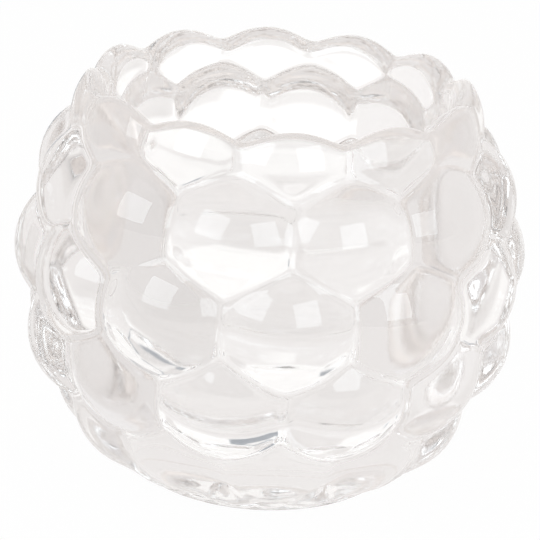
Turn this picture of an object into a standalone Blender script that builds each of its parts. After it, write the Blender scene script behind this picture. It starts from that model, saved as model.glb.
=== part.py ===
"""Votive candle holder in clear pressed glass, one solid piece.

A globe carries six staggered rows of twelve round bubbles. The bubbles of the top row run up
into a scalloped, rounded lip, and those of the last row stand on a low turned foot. Inside is
the smooth tapered well that the press's plunger leaves, with a flat floor for a tealight.

Metres, +Z up. The origin is the centre of the foot, on the surface that the glass stands on.
"""

import math

import bmesh
import bpy
from mathutils import Matrix, Vector

MM = 0.001

# Overall
ACROSS = 90.0 * MM  # over the bubbles of the widest row
HEIGHT = 71.0 * MM  # from the foot to the scallops' peaks

# Bubbles: where their centres lie, and how round they are
BUBBLES_IN_ROW = 12
BUBBLE_RADIUS = 14.4 * MM  # outwards, and along the row
BUBBLE_HALF_HEIGHT = 13.2 * MM
FOOT_BUBBLE_RADIUS = 13.5 * MM
BUBBLE_DEPTH = 10.0 * MM  # from a bubble's crown to the flat that closes it, deep in the glass
BELLY_LATITUDE = math.radians(2.7)
LATITUDE_PITCH = math.radians(21.5)
RIM_LATITUDE = math.radians(47.5)
FOOT_LATITUDE = math.radians(-49.0)
RIM_ROW_DROP = 9.4 * MM  # from the scallops' peaks down to the top row's centres
FOOT_ROW_RISE = 13.9 * MM  # from the table up to the last row's centres
GROOVE_COVER = 8.8 * MM  # glass over the ring of bubble centres where no bubble stands

# Lip
MOUTH_RADIUS = 29.5 * MM
RIM_WALL = 3.3 * MM  # at the lip's top, where a bubble stands
LIP_INNER_ROUND = 2.9 * MM
LIP_OUTER_ROUND = 1.2 * MM
LIP_OUTER_TURN = math.radians(50)  # how far the outer round turns before it meets a bubble
NECK_SETBACK = 1.0 * MM  # of the neck behind the lip's crest
SCALLOP_DEPTH = 2.1 * MM
SCALLOP_REACH = 9.0 * MM  # how far down the well the scallops fade out
VALLEY_ROUND = 0.22  # of half a scallop's width

# Well
TEALIGHT_RADIUS = 19.0 * MM
TEALIGHT_CLEARANCE = 1.5 * MM
FLOOR_THICKNESS = 9.0 * MM
FLOOR_ROUND = 4.0 * MM
WELL_DRAFT = math.radians(4.6)

# Foot
FOOT_RADIUS = 23.8 * MM
FOOT_HEIGHT = 1.0 * MM  # below which the bubbles are cut away
KICK_RADIUS = 17.0 * MM
KICK_DEPTH = 1.2 * MM

# Facets
TURN_STEPS = 72
BUBBLE_SEGMENTS = 16
BUBBLE_RINGS = 11
BUBBLE_SPIN = math.radians(7)  # turns each bubble on its own axis, so that no two mirror each other
CUT_MARGIN = 10.0 * MM  # how far a cutting tool stands past the glass
WELD = 0.01 * MM

PITCH_ANGLE = 2 * math.pi / BUBBLES_IN_ROW


def clear_scene():
    for obj in list(bpy.data.objects):
        bpy.data.objects.remove(obj, do_unlink=True)


def new_collection(name):
    collection = bpy.data.collections.new(name)
    bpy.context.scene.collection.children.link(collection)
    return collection


def clear_glass():
    material = bpy.data.materials.new("clear_glass")
    material.use_nodes = True
    shader = material.node_tree.nodes["Principled BSDF"]
    shader.inputs["Base Color"].default_value = (0.95, 0.95, 0.94, 1)
    shader.inputs["Roughness"].default_value = 0.02
    shader.inputs["IOR"].default_value = 1.51
    shader.inputs["Transmission Weight"].default_value = 1.0
    return material


def hide_tool(obj):
    obj.hide_render = True
    obj.display_type = "WIRE"


def arc(centre_r, centre_z, radius, start, end, count):
    """Points (r, z) on an arc, its angles measured from +Z towards +R."""
    angles = [start + (end - start) * i / count for i in range(count + 1)]
    return [(centre_r + radius * math.sin(a), centre_z + radius * math.cos(a)) for a in angles]


def turned(name, profile, collection):
    """An object whose profile, from the axis's top down the outer side, is turned about Z."""
    mesh = bpy.data.meshes.new(name)
    edges = [(i, i + 1) for i in range(len(profile) - 1)]
    mesh.from_pydata([(r, 0, z) for r, z in profile], edges, [])
    obj = bpy.data.objects.new(name, mesh)
    collection.objects.link(obj)
    screw = obj.modifiers.new("turn", "SCREW")
    screw.steps = TURN_STEPS
    screw.render_steps = TURN_STEPS
    screw.use_merge_vertices = True
    screw.merge_threshold = WELD
    return obj


def made_mesh(obj):
    """Applies the object's modifiers, so that its points can be moved."""
    graph = bpy.context.evaluated_depsgraph_get()
    mesh = bpy.data.meshes.new_from_object(obj.evaluated_get(graph))
    obj.modifiers.clear()
    obj.data = mesh
    return mesh


def row_places():
    """Each row as (ring radius, height, bubble radius, tilt), from the top row to the foot's."""
    globe_radius = ACROSS / 2 - BUBBLE_RADIUS
    rim_height = HEIGHT - RIM_ROW_DROP
    rise = math.sin(RIM_LATITUDE) - math.sin(FOOT_LATITUDE)
    globe_half_height = (rim_height - FOOT_ROW_RISE) / rise
    centre_height = FOOT_ROW_RISE - globe_half_height * math.sin(FOOT_LATITUDE)
    rim_ring = MOUTH_RADIUS + RIM_WALL - bubble_reach(RIM_LATITUDE, RIM_ROW_DROP)
    rows = [(rim_ring, rim_height, BUBBLE_RADIUS, RIM_LATITUDE)]
    latitudes = [BELLY_LATITUDE + LATITUDE_PITCH * n for n in (1, 0, -1, -2)] + [FOOT_LATITUDE]
    for latitude in latitudes:
        ring = globe_radius * math.cos(latitude)
        height = centre_height + globe_half_height * math.sin(latitude)
        radius = FOOT_BUBBLE_RADIUS if latitude == FOOT_LATITUDE else BUBBLE_RADIUS
        rows.append((ring, height, radius, latitude))
    return rows, globe_radius, globe_half_height, centre_height


def bubble_reach(tilt, rise):
    """How far out a tilted bubble's face lies from its centre, at a height above the centre."""
    out, up = math.cos(tilt), math.sin(tilt)
    a = (out / BUBBLE_RADIUS) ** 2 + (up / BUBBLE_HALF_HEIGHT) ** 2
    b = 2 * rise * out * up * (1 / BUBBLE_RADIUS**2 - 1 / BUBBLE_HALF_HEIGHT**2)
    c = (rise * up / BUBBLE_RADIUS) ** 2 + (rise * out / BUBBLE_HALF_HEIGHT) ** 2 - 1
    return (-b + math.sqrt(b * b - 4 * a * c)) / (2 * a)


def add_bubbles(rows, collection):
    """Rows of round bubbles, every second row turned by half a pitch."""
    for number, (ring, height, radius, tilt) in enumerate(rows, start=1):
        mesh = bpy.data.meshes.new(f"bubble_row_{number}")
        bm = bmesh.new()
        bmesh.ops.create_uvsphere(bm, u_segments=BUBBLE_SEGMENTS, v_segments=BUBBLE_RINGS, radius=radius)
        cut = bmesh.ops.bisect_plane(
            bm,
            geom=bm.verts[:] + bm.edges[:] + bm.faces[:],
            plane_co=(0, 0, radius - BUBBLE_DEPTH),
            plane_no=(0, 0, 1),
            clear_inner=True,
        )
        rim = [item for item in cut["geom_cut"] if isinstance(item, bmesh.types.BMEdge)]
        bmesh.ops.holes_fill(bm, edges=rim)
        # the pole points outwards, along +X, and the bubble is a little low for its width
        spin = Matrix.Rotation(BUBBLE_SPIN, 4, "Z")
        lay_down = Matrix.Rotation(math.pi / 2, 4, "Y")
        squash = Matrix.Diagonal((1, 1, BUBBLE_HALF_HEIGHT / BUBBLE_RADIUS, 1))
        lean = Matrix.Rotation(-tilt, 4, "Y")
        bm.transform(lean @ squash @ lay_down @ spin)
        bm.to_mesh(mesh)
        bm.free()
        offset = 0.0 if number % 2 else 0.5
        for n in range(BUBBLES_IN_ROW):
            bubble = bpy.data.objects.new(f"bubble_{number}_{n + 1}", mesh)
            angle = (n + offset) * PITCH_ANGLE - math.pi / 2
            bubble.rotation_euler.z = angle
            bubble.location = (ring * math.cos(angle), ring * math.sin(angle), height)
            collection.objects.link(bubble)
            hide_tool(bubble)


def globe_profile(globe_radius, half_height, centre_height):
    """The glass under the bubbles: neck, globe and foot, from the axis's top to its bottom."""
    wide = globe_radius + GROOVE_COVER
    tall = half_height + GROOVE_COVER
    neck = MOUTH_RADIUS + LIP_INNER_ROUND - NECK_SETBACK
    top = HEIGHT + CUT_MARGIN / 2
    first = math.asin(neck / wide)
    last = math.pi - math.asin(FOOT_RADIUS / wide)
    count = 12
    sides = [first + (last - first) * i / count for i in range(count + 1)]
    globe = [(wide * math.sin(a), centre_height + tall * math.cos(a)) for a in sides]
    return [(0, top), (neck, top)] + globe + [(FOOT_RADIUS, 0), (0, 0)]


def scallop(angle):
    """How far the lip lies below its peaks, which stand over the top row's bubbles."""
    across = abs(((angle + math.pi / 2) / PITCH_ANGLE + 0.5) % 1.0 - 0.5) * 2
    fold = math.hypot(1 - across, VALLEY_ROUND)
    deepest = 1 - VALLEY_ROUND
    return SCALLOP_DEPTH * (max(1 - fold, 0) / deepest) ** 2


def press_tool(collection):
    """The plunger and its ring, which leave the well, the rounded lip and its scallops."""
    crest = MOUTH_RADIUS + LIP_INNER_ROUND
    far = ACROSS / 2 + CUT_MARGIN
    top = HEIGHT + CUT_MARGIN
    outer = arc(crest, HEIGHT - LIP_OUTER_ROUND, LIP_OUTER_ROUND, LIP_OUTER_TURN, 0, 3)
    # beyond the outer round, the ring's face keeps its slope, clear of the bubbles
    low = outer[0][1] - (far - outer[0][0]) * math.tan(LIP_OUTER_TURN)
    inner = arc(crest, HEIGHT - LIP_INNER_ROUND, LIP_INNER_ROUND, 0, WELL_DRAFT - math.pi / 2, 4)
    flat = TEALIGHT_RADIUS + TEALIGHT_CLEARANCE
    floor = arc(flat, FLOOR_THICKNESS + FLOOR_ROUND, FLOOR_ROUND, math.pi / 2 + WELL_DRAFT, math.pi, 4)
    fade_z = HEIGHT - SCALLOP_REACH
    mouth_r, mouth_z = inner[-1]
    low_r, low_z = floor[0]
    share = (fade_z - low_z) / (mouth_z - low_z)
    fade = (low_r + (mouth_r - low_r) * share, fade_z)
    profile = [(0, top), (far, top), (far, low)] + outer + inner[1:] + [fade] + floor
    profile.append((0, FLOOR_THICKNESS))
    tool = turned("press_tool", profile, collection)
    for vertex in made_mesh(tool).vertices:
        x, y, z = vertex.co
        if math.hypot(x, y) > crest:
            amount = 1.0 if z < top - WELD else 0.0
        else:
            amount = min(max((z - fade_z) / (mouth_z - fade_z), 0), 1) if z < HEIGHT + WELD else 0.0
        vertex.co.z = z - amount * scallop(math.atan2(y, x))
    hide_tool(tool)
    return tool


def foot_tool(collection):
    """Cuts the bubbles off above the foot ring, and leaves the shallow kick under it."""
    far = ACROSS / 2
    profile = [(0, KICK_DEPTH)]
    dish = (KICK_RADIUS**2 + KICK_DEPTH**2) / (2 * KICK_DEPTH)
    for i in range(1, 4):
        r = KICK_RADIUS * i / 3
        profile.append((r, KICK_DEPTH - dish + math.sqrt(dish * dish - r * r)))
    profile[-1] = (KICK_RADIUS, 0)
    profile += [(FOOT_RADIUS, 0), (FOOT_RADIUS, FOOT_HEIGHT), (far, FOOT_HEIGHT), (far, -CUT_MARGIN)]
    profile.append((0, -CUT_MARGIN))
    tool = turned("foot_tool", profile, collection)
    hide_tool(tool)
    return tool


def add_boolean(obj, name, operation, operand):
    modifier = obj.modifiers.new(name, "BOOLEAN")
    modifier.operation = operation
    modifier.solver = "EXACT"
    if isinstance(operand, bpy.types.Collection):
        modifier.operand_type = "COLLECTION"
        modifier.collection = operand
    else:
        modifier.object = operand


def main():
    clear_scene()
    parts = new_collection("votive_holder")
    tools = new_collection("press_tools")
    bubbles = new_collection("bubbles")
    rows, globe_radius, half_height, centre_height = row_places()
    add_bubbles(rows, bubbles)
    profile = globe_profile(globe_radius, half_height, centre_height)
    holder = turned("bubble_glass", profile, parts)
    holder.data.materials.append(clear_glass())
    add_boolean(holder, "bubbles", "UNION", bubbles)
    add_boolean(holder, "well and lip", "DIFFERENCE", press_tool(tools))
    add_boolean(holder, "foot and kick", "DIFFERENCE", foot_tool(tools))


main()
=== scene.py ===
"""Votive candle holder in clear pressed glass, on a white sweep in soft studio light.

The glass is one piece. Its outside is a globe of round bubbles that melt into each other, its lip
is scalloped and fire-polished, and its inside is the smooth well that the press's plunger leaves.
A Geometry Nodes tree shapes one bubble's width of it, a wedge of 30 degrees, and repeats that
around the axis.
"""

import math

import bpy
from mathutils import Matrix, Vector


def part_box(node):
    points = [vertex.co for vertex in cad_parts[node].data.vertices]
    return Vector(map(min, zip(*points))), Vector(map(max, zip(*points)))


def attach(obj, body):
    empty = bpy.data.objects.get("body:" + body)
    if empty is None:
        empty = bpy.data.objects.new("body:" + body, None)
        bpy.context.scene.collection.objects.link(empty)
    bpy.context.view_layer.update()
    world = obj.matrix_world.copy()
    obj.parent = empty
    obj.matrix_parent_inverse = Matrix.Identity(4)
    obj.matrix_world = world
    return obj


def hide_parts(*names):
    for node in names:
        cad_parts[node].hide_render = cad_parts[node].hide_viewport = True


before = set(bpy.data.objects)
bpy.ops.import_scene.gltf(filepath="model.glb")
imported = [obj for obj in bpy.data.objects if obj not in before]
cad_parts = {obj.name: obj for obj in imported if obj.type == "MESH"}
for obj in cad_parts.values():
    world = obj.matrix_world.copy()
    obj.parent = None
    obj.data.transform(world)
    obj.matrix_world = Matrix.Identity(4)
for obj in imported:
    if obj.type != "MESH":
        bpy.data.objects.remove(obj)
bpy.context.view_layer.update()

MM = 0.001

# Overall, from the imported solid
low_corner, high_corner = (Vector(corner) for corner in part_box("bubble_glass"))
ACROSS = high_corner.x - low_corner.x
HEIGHT = high_corner.z

# Bubbles
BUBBLES_IN_ROW = 12
BUBBLE_RADIUS = 14.4 * MM  # outwards, and along the row
BUBBLE_SQUASH = 13.2 / 14.4  # how low a bubble is for its width
FOOT_BUBBLE_RADIUS = 13.5 * MM
BELLY_LATITUDE = math.radians(2.7)
LATITUDE_PITCH = math.radians(21.5)
RIM_LATITUDE = math.radians(47.5)
FOOT_LATITUDE = math.radians(-49.0)
RIM_ROW_DROP = 9.4 * MM
FOOT_ROW_RISE = 13.9 * MM
GROOVE_MELT = 2.2 * MM  # how far off a groove its two bubbles begin to run together
GROOVE_REACH = 41 * MM  # about how far the grooves lie from the globe's centre

# Lip
MOUTH_RADIUS = 29.5 * MM
RIM_WALL = 3.3 * MM
LIP_ROUND = 2.9 * MM
LIP_MELT = 0.9 * MM
LIP_HEART_RADIUS = 31.0 * MM  # the point inside the lip that its strip is drawn around
LIP_HEART_DROP = 3.6 * MM
LIP_END = math.radians(-5)  # the angle over the horizon where that strip meets the bubbles
SCALLOP_DEPTH = 2.1 * MM
VALLEY_ROUND = 0.22  # of half a scallop's width

# Well
FLOOR_RADIUS = 20.5 * MM
FLOOR_HEIGHT = 9.0 * MM
FLOOR_ROUND = 4.0 * MM
WELL_DRAFT = math.radians(4.6)
# where the floor's round ends and the tapered wall begins
WALL_START_HEIGHT = FLOOR_HEIGHT + FLOOR_ROUND - FLOOR_ROUND * math.sin(WELL_DRAFT)
WALL_START_RADIUS = FLOOR_RADIUS + FLOOR_ROUND * math.cos(WELL_DRAFT)

# Foot
FOOT_RADIUS = 23.8 * MM
FOOT_RING_RADIUS = FOOT_RADIUS - 0.7 * MM  # where the flat ring ends and the foot's edge rounds
FOOT_RISE = 9.0 * MM  # how high the turned foot reaches between the last row's bubbles
FOOT_MELT = 0.6 * MM
FOOT_JOIN = math.radians(-55.6)  # from the globe's centre: where the last row runs into the foot
KICK_RADIUS = 17.0 * MM
KICK_DEPTH = 1.2 * MM

WEDGE = 2 * math.pi / BUBBLES_IN_ROW
SEAM_GAP = 0.004 * MM  # points of two wedges that lie closer than this become one

# Looks
GLASS_IOR = 1.51
WHITE = (1, 1, 1, 1)
LAMP_COLOUR = (0.86, 0.95, 1.0)
# the paper, as the glass shows it, with painted shade near the glass and painted light behind it
PAINTED_SHADE_BESIDE = (0.835, 0.812, 0.8, 1)
PAINTED_SHADE_UNDER = (0.896, 0.873, 0.861, 1)
PAINTED_LIGHT_BEHIND = (0.967, 0.949, 0.94, 1)
PAINTED_LAMPLIGHT = (1.12, 1.115, 1.105, 1)
DARK_STREAK = (0.38, 0.41, 0.45, 1)

PICTURE_WIDTH = 540  # pixels


# Formulas in node trees

class Wire:
    """A value in a node tree. Arithmetic with it adds Math nodes, so a formula reads as one."""

    def __init__(self, tree, socket):
        self.tree = tree
        self.socket = socket

    def __add__(self, other):
        return calc("ADD", self, other)

    def __radd__(self, other):
        return calc("ADD", other, self)

    def __sub__(self, other):
        return calc("SUBTRACT", self, other)

    def __rsub__(self, other):
        return calc("SUBTRACT", other, self)

    def __mul__(self, other):
        return calc("MULTIPLY", self, other)

    def __rmul__(self, other):
        return calc("MULTIPLY", other, self)

    def __truediv__(self, other):
        return calc("DIVIDE", self, other)

    def __rtruediv__(self, other):
        return calc("DIVIDE", other, self)

    def __neg__(self):
        return calc("MULTIPLY", self, -1.0)


def plug(value, socket):
    if isinstance(value, Wire):
        value.tree.links.new(value.socket, socket)
    else:
        socket.default_value = value


def calc(operation, *values):
    tree = next(value.tree for value in values if isinstance(value, Wire))
    node = tree.nodes.new("ShaderNodeMath")
    node.operation = operation
    for value, socket in zip(values, node.inputs):
        plug(value, socket)
    return Wire(tree, node.outputs[0])


def sine(angle):
    return calc("SINE", angle)


def cosine(angle):
    return calc("COSINE", angle)


def length(across, up):
    """The length of a vector with these two parts."""
    return calc("SQRT", across * across + up * up)


def blend(start, end, share):
    return start + (end - start) * share


def span(value, start, end):
    """0 at start and below it, 1 at end and past it, and a soft step between them."""
    node = value.tree.nodes.new("ShaderNodeMapRange")
    node.interpolation_type = "SMOOTHSTEP"
    plug(value, node.inputs["Value"])
    node.inputs["From Min"].default_value = start
    node.inputs["From Max"].default_value = end
    return Wire(value.tree, node.outputs["Result"])


def new_group(name, inputs, outputs):
    """A Geometry Nodes group of numbers: its tree, its inputs as wires, and its output node."""
    tree = bpy.data.node_groups.new(name, "GeometryNodeTree")
    for label, value in inputs.items():
        socket = tree.interface.new_socket(label, in_out="INPUT", socket_type="NodeSocketFloat")
        socket.default_value = value
    for label in outputs:
        tree.interface.new_socket(label, in_out="OUTPUT", socket_type="NodeSocketFloat")
    taken = tree.nodes.new("NodeGroupInput")
    wires = {label: Wire(tree, taken.outputs[label]) for label in inputs}
    return tree, wires, tree.nodes.new("NodeGroupOutput")


def use_group(group, values):
    """Places a group in the tree of the wires in values, and returns its outputs by name."""
    tree = next(value.tree for value in values.values() if isinstance(value, Wire))
    node = tree.nodes.new("GeometryNodeGroup")
    node.node_tree = group
    for label, value in values.items():
        plug(value, node.inputs[label])
    return {socket.name: Wire(tree, socket) for socket in node.outputs}


def narrowed(tree, near, far, measure, steps):
    """The value between near and far where measure, below zero at near, reaches zero.

    Each step halves the span between them and keeps the half where the sign changes.
    """
    opened = tree.nodes.new("GeometryNodeRepeatInput")
    closed = tree.nodes.new("GeometryNodeRepeatOutput")
    opened.pair_with_output(closed)
    closed.repeat_items.clear()
    closed.repeat_items.new("FLOAT", "Near")
    closed.repeat_items.new("FLOAT", "Far")
    opened.inputs["Iterations"].default_value = steps
    plug(near, opened.inputs["Near"])
    plug(far, opened.inputs["Far"])
    low, high = (Wire(tree, opened.outputs[name]) for name in ("Near", "Far"))
    middle = (low + high) * 0.5
    near_side = tree.nodes.new("FunctionNodeCompare")
    near_side.data_type = "FLOAT"
    near_side.operation = "LESS_THAN"
    plug(measure(middle), near_side.inputs[0])
    near_side.inputs[1].default_value = 0.0
    for name, off, on in (("Near", low, middle), ("Far", middle, high)):
        kept = tree.nodes.new("GeometryNodeSwitch")
        kept.input_type = "FLOAT"
        tree.links.new(near_side.outputs["Result"], kept.inputs["Switch"])
        plug(off, kept.inputs["False"])
        plug(on, kept.inputs["True"])
        tree.links.new(kept.outputs["Output"], closed.inputs[name])
    low, high = (Wire(tree, closed.outputs[name]) for name in ("Near", "Far"))
    return (low + high) * 0.5


# The glass as distances: below zero inside it, above zero outside

def off_middle(place):
    """How far a place along a row lies from the nearest bubble's middle, both in bubble widths."""
    whole = 8.0  # keeps what FRACT takes above zero
    return calc("ABSOLUTE", calc("FRACT", place + (whole + 0.5)) - 0.5)


def bubble_distance_group():
    """How far a point lies outside one bubble, a ball pressed a little low along its own tilt."""
    group, given, out = new_group(
        "bubble distance",
        {"Azimuth": 0, "Radius": 0, "Height": 0, "Ring radius": 0.03, "Ring height": 0.04,
         "Tilt": 0, "Bubble radius": BUBBLE_RADIUS, "Squash": BUBBLE_SQUASH},
        ["Distance"],
    )
    outward = given["Radius"] * cosine(given["Azimuth"]) - given["Ring radius"]
    sideways = given["Radius"] * sine(given["Azimuth"])
    upward = given["Height"] - given["Ring height"]
    lean, rise = cosine(given["Tilt"]), sine(given["Tilt"])
    crown = outward * lean + upward * rise
    along = (upward * lean - outward * rise) / given["Squash"]
    plug(length(length(crown, sideways), along) - given["Bubble radius"], out.inputs["Distance"])
    return group


def row_distance_group(bubble_distance):
    """How far a point lies outside a whole row: the bubble next to it and the one beyond."""
    group, given, out = new_group(
        "row distance",
        {"Azimuth": 0, "Radius": 0, "Height": 0, "Ring radius": 0.03, "Ring height": 0.04,
         "Tilt": 0, "Bubble radius": BUBBLE_RADIUS, "Squash": BUBBLE_SQUASH,
         "Turn": 0, "Melt": GROOVE_MELT},
        ["Distance"],
    )
    nearest = off_middle(given["Azimuth"] / WEDGE - given["Turn"]) * WEDGE
    shared = {label: given[label] for label in
              ("Radius", "Height", "Ring radius", "Ring height", "Tilt", "Bubble radius", "Squash")}
    first = use_group(bubble_distance, {"Azimuth": nearest, **shared})["Distance"]
    second = use_group(bubble_distance, {"Azimuth": WEDGE - nearest, **shared})["Distance"]
    plug(calc("SMOOTH_MIN", first, second, given["Melt"]), out.inputs["Distance"])
    return group


def row_places():
    """The rows from the lip to the foot, as values for the row group, and the centre's height."""
    globe_radius = ACROSS / 2 - BUBBLE_RADIUS
    rim_height = HEIGHT - RIM_ROW_DROP
    half_height = (rim_height - FOOT_ROW_RISE) / (math.sin(RIM_LATITUDE) - math.sin(FOOT_LATITUDE))
    centre = FOOT_ROW_RISE - half_height * math.sin(FOOT_LATITUDE)
    # how far the rim's bubbles reach outwards at the lip's height, from a quadratic
    out, up = math.cos(RIM_LATITUDE), math.sin(RIM_LATITUDE)
    low = BUBBLE_RADIUS * BUBBLE_SQUASH
    a = (out / BUBBLE_RADIUS) ** 2 + (up / low) ** 2
    b = 2 * RIM_ROW_DROP * out * up * (1 / BUBBLE_RADIUS**2 - 1 / low**2)
    c = (RIM_ROW_DROP * up / BUBBLE_RADIUS) ** 2 + (RIM_ROW_DROP * out / low) ** 2 - 1
    rim_reach = (-b + math.sqrt(b * b - 4 * a * c)) / (2 * a)
    rows = [{"Ring radius": MOUTH_RADIUS + RIM_WALL - rim_reach, "Ring height": rim_height,
             "Tilt": RIM_LATITUDE}]
    latitudes = [BELLY_LATITUDE + LATITUDE_PITCH * n for n in (1, 0, -1, -2)] + [FOOT_LATITUDE]
    for latitude in latitudes:
        rows.append({"Ring radius": globe_radius * math.cos(latitude),
                     "Ring height": centre + half_height * math.sin(latitude), "Tilt": latitude})
    rows[-1]["Bubble radius"] = FOOT_BUBBLE_RADIUS
    for number, row in enumerate(rows):
        row["Turn"] = 0.5 * (number % 2)
    return rows, centre


def cone_radius(height):
    """The well's radius at a height on its tapered wall."""
    mouth_height = HEIGHT - LIP_ROUND
    slope = (MOUTH_RADIUS - WALL_START_RADIUS) / (mouth_height - WALL_START_HEIGHT)
    return WALL_START_RADIUS + (height - WALL_START_HEIGHT) * slope


def lip_top_group():
    """The lip's height: peaks over the top row's bubbles, and pointed valleys between them."""
    group, given, out = new_group(
        "lip top",
        {"Azimuth": 0, "Lip height": HEIGHT, "Scallop depth": SCALLOP_DEPTH,
         "Valley round": VALLEY_ROUND},
        ["Height"],
    )
    across = off_middle(given["Azimuth"] / WEDGE) * 2.0  # 0 over a bubble, 1 in a valley
    fold = length(1.0 - across, given["Valley round"])
    fall = calc("MAXIMUM", 1.0 - fold, 0.0) / (1.0 - given["Valley round"])
    plug(given["Lip height"] - given["Scallop depth"] * fall * fall, out.inputs["Height"])
    return group


def glass_distance_group(row_distance, lip_top, rows):
    """How far a point lies outside the rows and the foot, cut by the lip and the table."""
    group, given, out = new_group(
        "glass distance",
        {"Azimuth": 0, "Radius": 0, "Height": 0, "Groove melt": GROOVE_MELT, "Lip melt": LIP_MELT,
         "Lip round": LIP_ROUND, "Foot radius": FOOT_RADIUS, "Foot melt": FOOT_MELT},
        ["Distance"],
    )
    place = {label: given[label] for label in ("Azimuth", "Radius", "Height")}
    melt = given["Groove melt"]
    outside, *others = [use_group(row_distance, {**place, **row, "Melt": melt})["Distance"]
                        for row in rows]
    for other in others:
        outside = calc("SMOOTH_MIN", outside, other, melt)
    foot = calc("MAXIMUM", given["Radius"] - given["Foot radius"], given["Height"] - FOOT_RISE)
    outside = calc("SMOOTH_MIN", outside, foot, given["Foot melt"])
    top = use_group(lip_top, {"Azimuth": given["Azimuth"]})["Height"]
    # the lip's inner side counts at the top only, where the well is open
    counts_over, fading = HEIGHT * 0.6, 10.0
    below = calc("MAXIMUM", counts_over - given["Height"], 0.0)
    wall = cone_radius(given["Height"]) + given["Lip round"] - given["Radius"] - below * fading
    over = given["Height"] - (top - given["Lip round"])
    lip = length(calc("MAXIMUM", wall, 0.0), calc("MAXIMUM", over, 0.0)) - given["Lip round"]
    outside = calc("SMOOTH_MAX", outside, lip, given["Lip melt"])
    plug(calc("SMOOTH_MAX", outside, -given["Height"], given["Foot melt"]), out.inputs["Distance"])
    return group


def surface_group(glass_distance):
    """Where a ray that starts inside the glass, at an angle over the horizon, comes out of it."""
    group, given, out = new_group(
        "surface along a ray",
        {"Azimuth": 0, "From radius": 0, "From height": 0, "Angle": 0, "Near": 0, "Far": 0.06},
        ["Radius", "Height"],
    )
    outward, upward = cosine(given["Angle"]), sine(given["Angle"])

    def distance(reach):
        return use_group(glass_distance, {
            "Azimuth": given["Azimuth"],
            "Radius": given["From radius"] + outward * reach,
            "Height": given["From height"] + upward * reach,
        })["Distance"]

    reach = narrowed(group, given["Near"], given["Far"], distance, steps=20)
    plug(given["From radius"] + outward * reach, out.inputs["Radius"])
    plug(given["From height"] + upward * reach, out.inputs["Height"])
    return group


def groove_group(row_distance, upper, lower, centre, number):
    """The angle over the horizon, from the globe's centre, of the groove between two rows."""
    group, given, out = new_group(
        f"groove {number}",
        {"Azimuth": 0, "Groove reach": GROOVE_REACH},
        ["Angle"],
    )

    def over_groove(angle):
        place = {"Azimuth": given["Azimuth"], "Radius": given["Groove reach"] * cosine(angle),
                 "Height": centre + given["Groove reach"] * sine(angle)}
        # the melt is left out, so that the two rows are told apart sharply
        above = use_group(row_distance, {**place, **upper, "Melt": 0.0})["Distance"]
        below = use_group(row_distance, {**place, **lower, "Melt": 0.0})["Distance"]
        return above - below

    high, low = (math.atan2(row["Ring height"] - centre, row["Ring radius"])
                 for row in (upper, lower))
    plug(narrowed(group, high, low, over_groove, steps=16), out.inputs["Angle"])
    return group


def ease(share, pull=0.8):
    """Keeps the ends of 0 to 1, and draws the steps between together towards both."""
    return share - sine(share * (2 * math.pi)) * (pull / (2 * math.pi))


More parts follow.
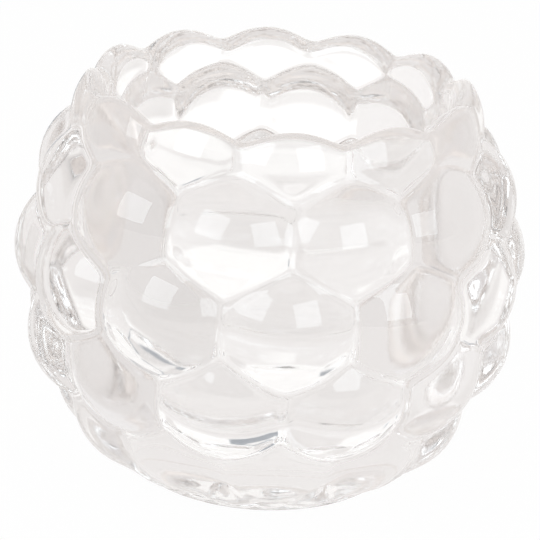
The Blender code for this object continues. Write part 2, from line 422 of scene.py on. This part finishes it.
def holder_tree(rows, centre):
    """The whole glass: strips of a wedge, from the well's floor to the underside, repeated."""
    row_distance = row_distance_group(bubble_distance_group())
    lip_top = lip_top_group()
    surface = surface_group(glass_distance_group(row_distance, lip_top, rows))
    grooves = [groove_group(row_distance, upper, lower, centre, number)
               for number, (upper, lower) in enumerate(zip(rows, rows[1:]), start=1)]

    tree = bpy.data.node_groups.new("pressed bubble glass", "GeometryNodeTree")
    tree.interface.new_socket("Geometry", in_out="INPUT", socket_type="NodeSocketGeometry")
    sizes = {"Bubbles in a row": ("NodeSocketInt", BUBBLES_IN_ROW),
             "Columns": ("NodeSocketInt", 36),
             "Rows in a bubble": ("NodeSocketInt", 20),
             "Rows in the lip": ("NodeSocketInt", 26),
             "Rows in a round": ("NodeSocketInt", 8),
             "Glass": ("NodeSocketMaterial", None)}
    for label, (kind, value) in sizes.items():
        socket = tree.interface.new_socket(label, in_out="INPUT", socket_type=kind)
        if value is not None:
            socket.default_value = value
    tree.interface.new_socket("Geometry", in_out="OUTPUT", socket_type="NodeSocketGeometry")
    taken = tree.nodes.new("NodeGroupInput")
    columns = Wire(tree, taken.outputs["Columns"]) + 1
    wedge = tree.nodes.new("GeometryNodeJoinGeometry")

    def band(row_count, place):
        """A strip of the wedge, where place gives the radius and height of a point in it."""
        grid = tree.nodes.new("GeometryNodeMeshGrid")
        plug(columns, grid.inputs["Vertices X"])
        if isinstance(row_count, str):
            row_count = Wire(tree, taken.outputs[row_count])
        plug(row_count + 1, grid.inputs["Vertices Y"])
        split = tree.nodes.new("ShaderNodeSeparateXYZ")
        tree.links.new(tree.nodes.new("GeometryNodeInputPosition").outputs[0], split.inputs[0])
        # the columns gather at the grooves, which lie at the wedge's edges and in its middle;
        # side is 0 left of the middle and 1 right of it, and the slack puts the middle at the right
        slack = 1e-4
        across = (Wire(tree, split.outputs["X"]) + 0.5) * 2.0
        side = calc("FLOOR", across + slack)
        azimuth = (side - 1.0 + ease(across - side)) * (WEDGE / 2)
        radius, height = place(azimuth, Wire(tree, split.outputs["Y"]) + 0.5)
        moved = tree.nodes.new("ShaderNodeCombineXYZ")
        plug(radius * sine(azimuth), moved.inputs["X"])
        plug(-(radius * cosine(azimuth)), moved.inputs["Y"])
        plug(height, moved.inputs["Z"])
        placed = tree.nodes.new("GeometryNodeSetPosition")
        tree.links.new(grid.outputs["Mesh"], placed.inputs["Geometry"])
        tree.links.new(moved.outputs[0], placed.inputs["Position"])
        tree.links.new(placed.outputs["Geometry"], wedge.inputs["Geometry"])

    # well, from the middle of its floor up to the lip
    rings_in_floor = 6

    def heart_height(azimuth):
        return use_group(lip_top, {"Azimuth": azimuth})["Height"] - LIP_HEART_DROP

    def floor_round(azimuth, way):
        angle = blend(math.pi, math.pi / 2 + WELL_DRAFT, way)
        return (FLOOR_RADIUS + sine(angle) * FLOOR_ROUND,
                FLOOR_HEIGHT + FLOOR_ROUND + cosine(angle) * FLOOR_ROUND)

    def wall(azimuth, way):
        height = blend(WALL_START_HEIGHT, heart_height(azimuth), way)
        return cone_radius(height), height

    band(rings_in_floor, lambda azimuth, way: (way * FLOOR_RADIUS, way * 0.0 + FLOOR_HEIGHT))
    band("Rows in a round", floor_round)
    band("Rows in a bubble", wall)

    # lip, along rays from its heart: from the well over the top to the bubbles' faces
    lip_reach = 12 * MM

    def lip_face(azimuth, angle):
        found = use_group(surface, {"Azimuth": azimuth, "From radius": LIP_HEART_RADIUS,
                                    "From height": heart_height(azimuth), "Angle": angle,
                                    "Near": 0.0, "Far": lip_reach})
        return found["Radius"], found["Height"]

    band("Rows in the lip", lambda azimuth, way: lip_face(azimuth, blend(math.pi, LIP_END, way)))

    # bubbles, along rays from the globe's centre, with the strips' edges in the grooves;
    # each ray is followed from inside the glass, a little farther out near the lip and the foot
    ray_start, start_rise, ray_length = 35 * MM, 7.5 * MM, 14 * MM

    def outer_face(azimuth, angle):
        near = ray_start + calc("ABSOLUTE", sine(angle)) * start_rise
        found = use_group(surface, {"Azimuth": azimuth, "From radius": 0.0, "From height": centre,
                                    "Angle": angle, "Near": near, "Far": near + ray_length})
        return found["Radius"], found["Height"]

    def under_lip(azimuth):
        radius, height = lip_face(azimuth, LIP_END)
        return calc("ARCTAN2", height - centre, radius)

    edges = [under_lip]
    edges += [lambda azimuth, group=group: use_group(group, {"Azimuth": azimuth})["Angle"]
              for group in grooves]
    edges.append(lambda azimuth: azimuth * 0.0 + FOOT_JOIN)
    edges.append(lambda azimuth: azimuth * 0.0 - math.atan2(centre, FOOT_RING_RADIUS))
    for upper, lower in zip(edges, edges[1:]):
        rows_here = "Rows in a round" if lower is edges[-1] else "Rows in a bubble"
        band(rows_here, lambda azimuth, way, upper=upper, lower=lower:
             outer_face(azimuth, blend(upper(azimuth), lower(azimuth), ease(way))))

    # foot's ring, and the shallow kick under it, a part of a ball
    rings_in_foot = 4
    kick_ball = (KICK_RADIUS**2 + KICK_DEPTH**2) / (2 * KICK_DEPTH)

    def kick(azimuth, way):
        radius = (1.0 - way) * KICK_RADIUS
        return radius, (calc("SQRT", kick_ball * kick_ball - radius * radius)
                        + (KICK_DEPTH - kick_ball))

    band(rings_in_foot,
         lambda azimuth, way: (blend(FOOT_RING_RADIUS, KICK_RADIUS, way), way * 0.0))
    band("Rows in a round", kick)

    # the wedge, repeated around the axis and closed
    spots = tree.nodes.new("GeometryNodePoints")
    tree.links.new(taken.outputs["Bubbles in a row"], spots.inputs["Count"])
    spun = tree.nodes.new("ShaderNodeCombineXYZ")
    index = Wire(tree, tree.nodes.new("GeometryNodeInputIndex").outputs[0])
    plug(index * WEDGE, spun.inputs["Z"])
    copies = tree.nodes.new("GeometryNodeInstanceOnPoints")
    tree.links.new(spots.outputs[0], copies.inputs["Points"])
    tree.links.new(wedge.outputs[0], copies.inputs["Instance"])
    tree.links.new(spun.outputs[0], copies.inputs["Rotation"])
    real = tree.nodes.new("GeometryNodeRealizeInstances")
    closed = tree.nodes.new("GeometryNodeMergeByDistance")
    closed.inputs["Distance"].default_value = SEAM_GAP
    outwards = tree.nodes.new("GeometryNodeFlipFaces")
    smooth = tree.nodes.new("GeometryNodeSetShadeSmooth")
    finish = tree.nodes.new("GeometryNodeSetMaterial")
    tree.links.new(taken.outputs["Glass"], finish.inputs["Material"])
    out = tree.nodes.new("NodeGroupOutput")
    chain = [copies, real, closed, outwards, smooth, finish, out]
    for before, after in zip(chain, chain[1:]):
        tree.links.new(before.outputs[0], after.inputs[0])
    return tree


def make_holder(glass):
    rows, centre = row_places()
    tree = holder_tree(rows, centre)
    obj = bpy.data.objects.new("bubble_holder", bpy.data.meshes.new("bubble_holder"))
    bpy.context.scene.collection.objects.link(obj)
    shape = obj.modifiers.new("pressed bubble glass", "NODES")
    shape.node_group = tree
    identifiers = {item.name: item.identifier for item in tree.interface.items_tree
                   if item.in_out == "INPUT"}
    shape[identifiers["Glass"]] = glass
    graph = bpy.context.evaluated_depsgraph_get()
    mesh = bpy.data.meshes.new_from_object(obj.evaluated_get(graph))
    obj.modifiers.clear()
    obj.data = mesh
    mesh.name = "bubble_holder"
    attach(obj, "root")
    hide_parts("bubble_glass")


# Materials

def pressed_surface_group():
    """What the press leaves on clear glass: a faint ripple, small chill marks and a little haze."""
    group = bpy.data.node_groups.new("pressed surface", "ShaderNodeTree")
    interface = group.interface
    inputs = {"Ripple width": 9 * MM, "Ripple height": 1.0, "Chill mark width": 1.6 * MM,
              "Softness": 0.055, "Haze": 0.03}
    for label, value in inputs.items():
        socket = interface.new_socket(label, in_out="INPUT", socket_type="NodeSocketFloat")
        socket.default_value = value
    interface.new_socket("Height", in_out="OUTPUT", socket_type="NodeSocketFloat")
    interface.new_socket("Roughness", in_out="OUTPUT", socket_type="NodeSocketFloat")
    taken, out = group.nodes.new("NodeGroupInput"), group.nodes.new("NodeGroupOutput")
    given = {socket.name: Wire(group, socket) for socket in taken.outputs if socket.name}
    place = group.nodes.new("ShaderNodeTexCoord").outputs["Object"]

    def noise(width, detail):
        node = group.nodes.new("ShaderNodeTexNoise")
        group.links.new(place, node.inputs["Vector"])
        plug(1.0 / width, node.inputs["Scale"])
        node.inputs["Detail"].default_value = detail
        return Wire(group, node.outputs["Fac"])

    # a chill mark only where the fine noise is highest, and haze on about half of the surface
    mark_over, mark_height = 0.76, 0.5
    haze_over, haze_stretch, haze_ripples_wide = 0.5, 2.0, 3.0
    ripple = noise(given["Ripple width"], detail=1.0) * given["Ripple height"]
    fine = noise(given["Chill mark width"], detail=0.0)
    marks = calc("MAXIMUM", fine - mark_over, 0.0) * mark_height
    plug(ripple + marks, out.inputs["Height"])
    broad = noise(given["Ripple width"] * haze_ripples_wide, detail=3.0)
    handled = calc("MAXIMUM", broad - haze_over, 0.0) * haze_stretch
    plug(handled * given["Haze"] + given["Softness"], out.inputs["Roughness"])
    return group


def clear_glass():
    """Clear soda-lime glass, a touch warm through its thick parts, with a painted glow where a
    render stops following light inside it.
    """
    material = bpy.data.materials.new("clear glass")
    material.use_nodes = True
    nodes, links = material.node_tree.nodes, material.node_tree.links
    shader = nodes["Principled BSDF"]
    shader.inputs["Base Color"].default_value = WHITE
    shader.inputs["IOR"].default_value = GLASS_IOR
    shader.inputs["Transmission Weight"].default_value = 1.0
    surface = nodes.new("ShaderNodeGroup")
    surface.node_tree = pressed_surface_group()
    links.new(surface.outputs["Roughness"], shader.inputs["Roughness"])
    bump = nodes.new("ShaderNodeBump")
    bump.inputs["Strength"].default_value = 1.0
    bump.inputs["Distance"].default_value = 0.012 * MM
    links.new(surface.outputs["Height"], bump.inputs["Height"])
    links.new(bump.outputs["Normal"], shader.inputs["Normal"])
    thickness = nodes.new("ShaderNodeVolumeAbsorption")
    thickness.inputs["Color"].default_value = (0.30, 0.22, 0.18, 1)
    thickness.inputs["Density"].default_value = 2.8
    links.new(thickness.outputs[0], nodes["Material Output"].inputs["Volume"])

    # painted glow: light that is thrown back inside more often than a render follows it leaves the
    # glass as its own glow, in the room's tone
    bounces_followed, painted_glow_tone = 3.5, 0.56
    path = nodes.new("ShaderNodeLightPath")
    inner_bounces = Wire(material.node_tree, path.outputs["Glossy Depth"])
    thrown_back = nodes.new("ShaderNodeFresnel")
    thrown_back.inputs["IOR"].default_value = GLASS_IOR
    links.new(bump.outputs["Normal"], thrown_back.inputs["Normal"])
    share = Wire(material.node_tree, thrown_back.outputs[0])
    plug(calc("GREATER_THAN", inner_bounces, bounces_followed) * share * painted_glow_tone,
         shader.inputs["Emission Strength"])
    shader.inputs["Emission Color"].default_value = (1.0, 0.96, 0.93, 1)
    material.cycles.emission_sampling = "NONE"
    return material


def white_paper():
    """White paper, plain to the camera. The glass shows it grey in painted shade close by and white
    in painted lamplight far back.
    """
    material = bpy.data.materials.new("white paper")
    material.use_nodes = True
    tree = material.node_tree
    nodes, links = tree.nodes, tree.links
    paper = nodes["Principled BSDF"]
    paper.inputs["Base Color"].default_value = (0.86, 0.835, 0.82, 1)
    paper.inputs["Roughness"].default_value = 0.9
    paper.inputs["Specular IOR Level"].default_value = 0.0
    path = nodes.new("ShaderNodeLightPath")
    seen = Wire(tree, path.outputs["Is Camera Ray"])
    in_glass = calc("MAXIMUM", Wire(tree, path.outputs["Is Glossy Ray"]),
                    Wire(tree, path.outputs["Is Transmission Ray"]))
    split = nodes.new("ShaderNodeSeparateXYZ")
    links.new(nodes.new("ShaderNodeTexCoord").outputs["Object"], split.inputs[0])
    across, back = (Wire(tree, split.outputs[axis]) for axis in ("X", "Y"))

    def strip(middle, fade, full):
        """Runs back from the glass: 1 within full of its middle line, and 0 from fade on."""
        return span(calc("ABSOLUTE", across - middle), fade, full)

    def spot(middle, distance, fade, full):
        """A round patch that ends in the same way."""
        return span(length(across - middle, back - distance), fade, full)

    def tinted(before, colour, share):
        mix = nodes.new("ShaderNodeMix")
        mix.data_type = "RGBA"
        if isinstance(before, tuple):
            mix.inputs["A"].default_value = before
        else:
            links.new(before, mix.inputs["A"])
        mix.inputs["B"].default_value = colour
        plug(share, mix.inputs["Factor"])
        return mix.outputs["Result"]

    # painted shade: grey under and beside the glass, darker beside it on the left; places on the
    # paper are in metres
    tone = tinted(PAINTED_SHADE_BESIDE, PAINTED_SHADE_UNDER, span(across, -0.06, -0.01))

    # painted light: paler behind it, from a slanting line on, which falls back fast at the right
    slant, right_from, right_slant = -0.8, 0.045, 4.6
    onset = across * slant + calc("MAXIMUM", across - right_from, 0.0) * right_slant
    behind = span(back - onset, 0.035, 0.06) * span(across, -0.07, -0.02)
    tone = tinted(tone, PAINTED_LIGHT_BEHIND, behind)

    # painted lamplight: bright paper farther back, wider from some way on, a paler side to its
    # left, and patches of gathered lamplight
    bright_middle, wider_from, widening = 0.012, 0.2, 0.5
    paler = 0.8
    off_line = (calc("ABSOLUTE", across - bright_middle)
                - calc("MAXIMUM", back - wider_from, 0.0) * widening)
    bright = span(back, 0.13, 0.15) * span(off_line, 0.038, 0.032)
    patches = [span(back, 0.135, 0.15) * strip(middle=-0.03, fade=0.05, full=0.034) * paler,
               span(back, 0.09, 0.1) * strip(middle=-0.018, fade=0.011, full=0.006),
               spot(middle=-0.038, distance=0.06, fade=0.014, full=0.006),
               spot(middle=0.022, distance=0.088, fade=0.016, full=0.008) * paler]
    for patch in patches:
        bright = calc("MAXIMUM", bright, patch)
    tone = tinted(tone, PAINTED_LAMPLIGHT, bright)

    # a dark streak far back on the left, which the glass shows as crescents low in its bubbles
    lean, streak_from, spread = 0.31, 0.2, 0.05
    off_streak = calc("ABSOLUTE", across + back * lean) - (back - streak_from) * spread
    streak = span(off_streak, 0.022, 0.012)
    streak = streak * span(back, 0.205, 0.225) * span(back, 0.7, 0.6)
    tone = tinted(tone, DARK_STREAK, streak)

    tone = tinted(tone, WHITE, seen)
    shadow_share = 0.02  # how much of the glass's shadow the camera sees on the paper
    white = nodes.new("ShaderNodeEmission")
    links.new(tone, white.inputs["Color"])
    both = nodes.new("ShaderNodeMixShader")
    plug(calc("MAXIMUM", seen * (1.0 - shadow_share), in_glass), both.inputs["Fac"])
    links.new(paper.outputs[0], both.inputs[1])
    links.new(white.outputs[0], both.inputs[2])
    links.new(both.outputs[0], nodes["Material Output"].inputs["Surface"])
    return material


# Stage, light and camera

def white_sweep():
    """A sheet of paper that lies under the glass and curves up behind it."""
    floor_reach, half_width, wall_height = 0.9, 1.2, 0.9
    bend_start, bend_radius, bend_step = 0.5, 0.3, 10
    drop = 0.05 * MM  # keeps the paper just under the foot
    profile = [(-floor_reach, 0.0), (bend_start, 0.0)]
    for angle in range(bend_step, 90 + 1, bend_step):
        turned = math.radians(angle)
        profile.append((bend_start + bend_radius * math.sin(turned),
                        bend_radius * (1 - math.cos(turned))))
    profile.append((bend_start + bend_radius, wall_height))
    mesh = bpy.data.meshes.new("white_sweep")
    points = [(side * half_width, y, z - drop) for y, z in profile for side in (-1, 1)]
    faces = [(2 * n, 2 * n + 1, 2 * n + 3, 2 * n + 2) for n in range(len(profile) - 1)]
    mesh.from_pydata(points, [], faces)
    for polygon in mesh.polygons:
        polygon.use_smooth = True
    sweep = bpy.data.objects.new("white_sweep", mesh)
    bpy.context.scene.collection.objects.link(sweep)
    mesh.materials.append(white_paper())


def soft_box(name, turn, rise, reach, size, brightness):
    """A lit rectangle that faces the glass, by its degrees right of the front and over level."""
    turn, rise = math.radians(turn), math.radians(rise)
    lamp = bpy.data.lights.new(name, "AREA")
    lamp.shape = "RECTANGLE"
    lamp.size, lamp.size_y = size
    lamp.energy = brightness * math.pi * size[0] * size[1]
    lamp.color = LAMP_COLOUR
    obj = bpy.data.objects.new(name, lamp)
    heart = Vector((0, 0, HEIGHT / 2))
    aim = Vector((-math.sin(turn) * math.cos(rise),
                  math.cos(turn) * math.cos(rise),
                  -math.sin(rise)))
    obj.location = heart - aim * reach
    obj.rotation_euler = aim.to_track_quat("-Z", "Y").to_euler()
    bpy.context.scene.collection.objects.link(obj)


def studio_light():
    """A room that the glass shows dim in front, pale at the back and brightest right above."""
    world = bpy.data.worlds.new("studio")
    world.use_nodes = True
    tree = world.node_tree
    room = tree.nodes["Background"]
    room.inputs["Color"].default_value = (1.0, 0.985, 0.985, 1)
    pale, dimming = 0.93, 0.76
    split = tree.nodes.new("ShaderNodeSeparateXYZ")
    tree.links.new(tree.nodes.new("ShaderNodeTexCoord").outputs["Generated"], split.inputs[0])
    frontwards = span(Wire(tree, split.outputs["Y"]), -0.15, -0.8)
    overhead = span(Wire(tree, split.outputs["Z"]), 0.78, 0.9)
    plug(calc("MAXIMUM", pale - frontwards * dimming, overhead), room.inputs["Strength"])
    white = tree.nodes.new("ShaderNodeBackground")
    both = tree.nodes.new("ShaderNodeMixShader")
    path = tree.nodes.new("ShaderNodeLightPath")
    tree.links.new(path.outputs["Is Camera Ray"], both.inputs["Fac"])
    tree.links.new(room.outputs[0], both.inputs[1])
    tree.links.new(white.outputs[0], both.inputs[2])
    tree.links.new(both.outputs[0], tree.nodes["World Output"].inputs["Surface"])
    white.inputs["Color"].default_value = WHITE
    white.inputs["Strength"].default_value = 1.0
    bpy.context.scene.world = world
    soft_box("soft_box_left", turn=-50, rise=30, reach=0.7, size=(0.48, 0.43), brightness=2.8)
    soft_box("soft_box_right", turn=27, rise=24, reach=0.7, size=(0.40, 0.42), brightness=2.8)


def place_camera():
    """The photograph's view: a long lens, a little above the lip, held slightly tilted."""
    turn, rise, roll = math.radians(-5.0), math.radians(20.91), math.radians(3.15)
    distance, aim_height, focal_pixels = 0.398, 35.4 * MM, 2254.7
    back = Matrix.Rotation(turn, 3, "Z") @ Vector((0, -math.cos(rise), math.sin(rise)))
    right = Matrix.Rotation(turn, 3, "Z") @ Vector((1, 0, 0))
    up = back.cross(right)
    right, up = (right * math.cos(roll) + up * math.sin(roll),
                 up * math.cos(roll) - right * math.sin(roll))
    camera = bpy.data.cameras.new("camera")
    camera.sensor_width = 36
    camera.lens = focal_pixels * camera.sensor_width / PICTURE_WIDTH
    obj = bpy.data.objects.new("camera", camera)
    obj.matrix_world = Matrix.Translation(Vector((0, 0, aim_height)) + back * distance) @ Matrix(
        (right, up, back)).transposed().to_4x4()
    bpy.context.scene.collection.objects.link(obj)
    bpy.context.scene.camera = obj


bpy.context.scene.view_settings.view_transform = "Standard"
place_camera()
make_holder(clear_glass())
white_sweep()
studio_light()
